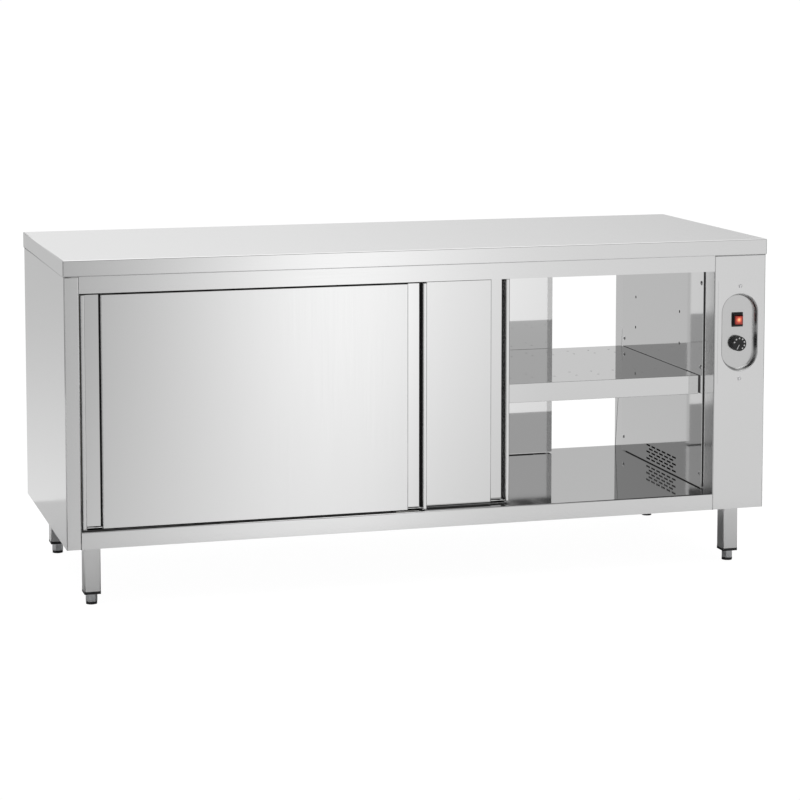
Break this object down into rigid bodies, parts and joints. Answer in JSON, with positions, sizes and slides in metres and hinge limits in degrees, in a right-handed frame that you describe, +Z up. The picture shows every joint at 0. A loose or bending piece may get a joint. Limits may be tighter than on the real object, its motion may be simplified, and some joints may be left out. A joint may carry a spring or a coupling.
{
  "type": "plate warmer cabinet",
  "caption": "Heated pass-through cabinet with a flat steel worktop, sliding doors on both long sides, a perforated shelf and a control column, standing on square legs with levelling feet.",
  "frame": {"origin": "on the floor under the middle of the worktop", "axes": "+X along the width towards the control column, +Y from the control side to the back, +Z up"},
  "size_m": [1.8, 0.7, 0.842],
  "materials": {
    "stainless_sheet": "brushed",
    "plated_steel": "satin",
    "white_nylon": "matte",
    "black_plastic": "satin",
    "red_plastic": "gloss",
    "board": "raw board",
    "mineral_wool": "fibrous"
  },
  "bodies": {
    "cabinet": {"worktop": "stainless_sheet", "worktop_board": "board", "worktop_stiffeners": "plated_steel", "left_outer_panel": "stainless_sheet", "right_outer_panel": "stainless_sheet", "left_inner_wall": "stainless_sheet", "right_inner_wall": "stainless_sheet", "floor_pan": "stainless_sheet", "base_panel": "plated_steel", "ceiling_panel": "stainless_sheet", "top_rails": "stainless_sheet", "upper_tracks": "plated_steel", "insulation": "mineral_wool", "bottom_guides": "white_nylon", "shelf_supports": "plated_steel", "wall_screws": "plated_steel", "legs": "stainless_sheet", "leg_plugs": "black_plastic", "control_plate": "stainless_sheet", "plate_screws": "plated_steel", "switch_housing": "black_plastic", "thermostat": "plated_steel", "fan_duct": "plated_steel", "fan_motor": "plated_steel", "heating_element": "plated_steel", "safety_cutout": "black_plastic", "terminal_block": "white_nylon", "cable_gland": "black_plastic"},
    "shelf_body": {"shelf": "stainless_sheet"},
    "rocker_body": {"rocker": "red_plastic"},
    "knob_body": {"knob": "black_plastic"},
    "fan_body": {"fan_wheel": "plated_steel"},
    "front_left_door": {"front_left_skin": "stainless_sheet", "front_left_liner": "stainless_sheet", "front_left_hangers": "plated_steel"},
    "front_left_wheel_a": {"front_left_roller_a": "white_nylon"},
    "front_left_wheel_b": {"front_left_roller_b": "white_nylon"},
    "front_right_door": {"front_right_skin": "stainless_sheet", "front_right_liner": "stainless_sheet", "front_right_hangers": "plated_steel"},
    "front_right_wheel_a": {"front_right_roller_a": "white_nylon"},
    "front_right_wheel_b": {"front_right_roller_b": "white_nylon"},
    "rear_left_door": {"rear_left_skin": "stainless_sheet", "rear_left_liner": "stainless_sheet", "rear_left_hangers": "plated_steel"},
    "rear_left_wheel_a": {"rear_left_roller_a": "white_nylon"},
    "rear_left_wheel_b": {"rear_left_roller_b": "white_nylon"},
    "rear_right_door": {"rear_right_skin": "stainless_sheet", "rear_right_liner": "stainless_sheet", "rear_right_hangers": "plated_steel"},
    "rear_right_wheel_a": {"rear_right_roller_a": "white_nylon"},
    "rear_right_wheel_b": {"rear_right_roller_b": "white_nylon"},
    "front_left_foot": {"foot_front_left": "plated_steel", "pad_front_left": "black_plastic"},
    "rear_left_foot": {"foot_rear_left": "plated_steel", "pad_rear_left": "black_plastic"},
    "front_right_foot": {"foot_front_right": "plated_steel", "pad_front_right": "black_plastic"},
    "rear_right_foot": {"foot_rear_right": "plated_steel", "pad_rear_right": "black_plastic"}
  },
  "joints": [
    {"name": "front_left_slide", "type": "slide", "parent": "cabinet", "child": "front_left_door", "axis": [1, 0, 0], "range_m": [0, 0.757]},
    {"name": "front_left_wheel_a_spin", "type": "hinge", "parent": "front_left_door", "child": "front_left_wheel_a", "pos_m": [-0.791, -0.334, 0.7878], "axis": [0, 1, 0], "range_deg": [-30, 5140]},
    {"name": "front_left_wheel_b_spin", "type": "hinge", "parent": "front_left_door", "child": "front_left_wheel_b", "pos_m": [-0.07, -0.334, 0.7878], "axis": [0, 1, 0], "range_deg": [-30, 5140]},
    {"name": "front_right_slide", "type": "slide", "parent": "cabinet", "child": "front_right_door", "axis": [1, 0, 0], "range_m": [-0.225, 0.532]},
    {"name": "front_right_wheel_a_spin", "type": "hinge", "parent": "front_right_door", "child": "front_right_wheel_a", "pos_m": [-0.566, -0.295, 0.7878], "axis": [0, 1, 0], "range_deg": [-1550, 3620]},
    {"name": "front_right_wheel_b_spin", "type": "hinge", "parent": "front_right_door", "child": "front_right_wheel_b", "pos_m": [0.155, -0.295, 0.7878], "axis": [0, 1, 0], "range_deg": [-1550, 3620]},
    {"name": "rear_left_slide", "type": "slide", "parent": "cabinet", "child": "rear_left_door", "axis": [1, 0, 0], "range_m": [0, 0.757]},
    {"name": "rear_left_wheel_a_spin", "type": "hinge", "parent": "rear_left_door", "child": "rear_left_wheel_a", "pos_m": [-0.791, 0.334, 0.7878], "axis": [0, 1, 0], "range_deg": [-30, 5140]},
    {"name": "rear_left_wheel_b_spin", "type": "hinge", "parent": "rear_left_door", "child": "rear_left_wheel_b", "pos_m": [-0.07, 0.334, 0.7878], "axis": [0, 1, 0], "range_deg": [-30, 5140]},
    {"name": "rear_right_slide", "type": "slide", "parent": "cabinet", "child": "rear_right_door", "axis": [1, 0, 0], "range_m": [-0.551, 0.206]},
    {"name": "rear_right_wheel_a_spin", "type": "hinge", "parent": "rear_right_door", "child": "rear_right_wheel_a", "pos_m": [-0.24, 0.295, 0.7878], "axis": [0, 1, 0], "range_deg": [-3750, 1420]},
    {"name": "rear_right_wheel_b_spin", "type": "hinge", "parent": "rear_right_door", "child": "rear_right_wheel_b", "pos_m": [0.481, 0.295, 0.7878], "axis": [0, 1, 0], "range_deg": [-3750, 1420]},
    {"name": "shelf_lift", "type": "slide", "parent": "cabinet", "child": "shelf_body", "axis": [0, 0, 1], "range_m": [0, 0.1]},
    {"name": "rocker_tilt", "type": "hinge", "parent": "cabinet", "child": "rocker_body", "pos_m": [0.828, -0.335, 0.635], "axis": [1, 0, 0], "range_deg": [-12, 0]},
    {"name": "knob_turn", "type": "hinge", "parent": "cabinet", "child": "knob_body", "pos_m": [0.828, -0.34, 0.574], "axis": [0, 1, 0], "range_deg": [0, 270]},
    {"name": "fan_spin", "type": "hinge", "parent": "cabinet", "child": "fan_body", "pos_m": [0.8, -0.01, 0.257], "axis": [1, 0, 0], "continuous": true},
    {"name": "front_left_foot_screw", "type": "slide", "parent": "cabinet", "child": "front_left_foot", "axis": [0, 0, -1], "range_m": [0, 0.05]},
    {"name": "rear_left_foot_screw", "type": "slide", "parent": "cabinet", "child": "rear_left_foot", "axis": [0, 0, -1], "range_m": [0, 0.05]},
    {"name": "front_right_foot_screw", "type": "slide", "parent": "cabinet", "child": "front_right_foot", "axis": [0, 0, -1], "range_m": [0, 0.05]},
    {"name": "rear_right_foot_screw", "type": "slide", "parent": "cabinet", "child": "rear_right_foot", "axis": [0, 0, -1], "range_m": [0, 0.05]}
  ],
  "couplings": [
    {"joint": "front_left_wheel_a_spin", "follows": "front_left_slide", "rad_per_m": 117.65},
    {"joint": "front_left_wheel_b_spin", "follows": "front_left_slide", "rad_per_m": 117.65},
    {"joint": "front_right_wheel_a_spin", "follows": "front_right_slide", "rad_per_m": 117.65},
    {"joint": "front_right_wheel_b_spin", "follows": "front_right_slide", "rad_per_m": 117.65},
    {"joint": "rear_left_wheel_a_spin", "follows": "rear_left_slide", "rad_per_m": 117.65},
    {"joint": "rear_left_wheel_b_spin", "follows": "rear_left_slide", "rad_per_m": 117.65},
    {"joint": "rear_right_wheel_a_spin", "follows": "rear_right_slide", "rad_per_m": 117.65},
    {"joint": "rear_right_wheel_b_spin", "follows": "rear_right_slide", "rad_per_m": 117.65}
  ]
}
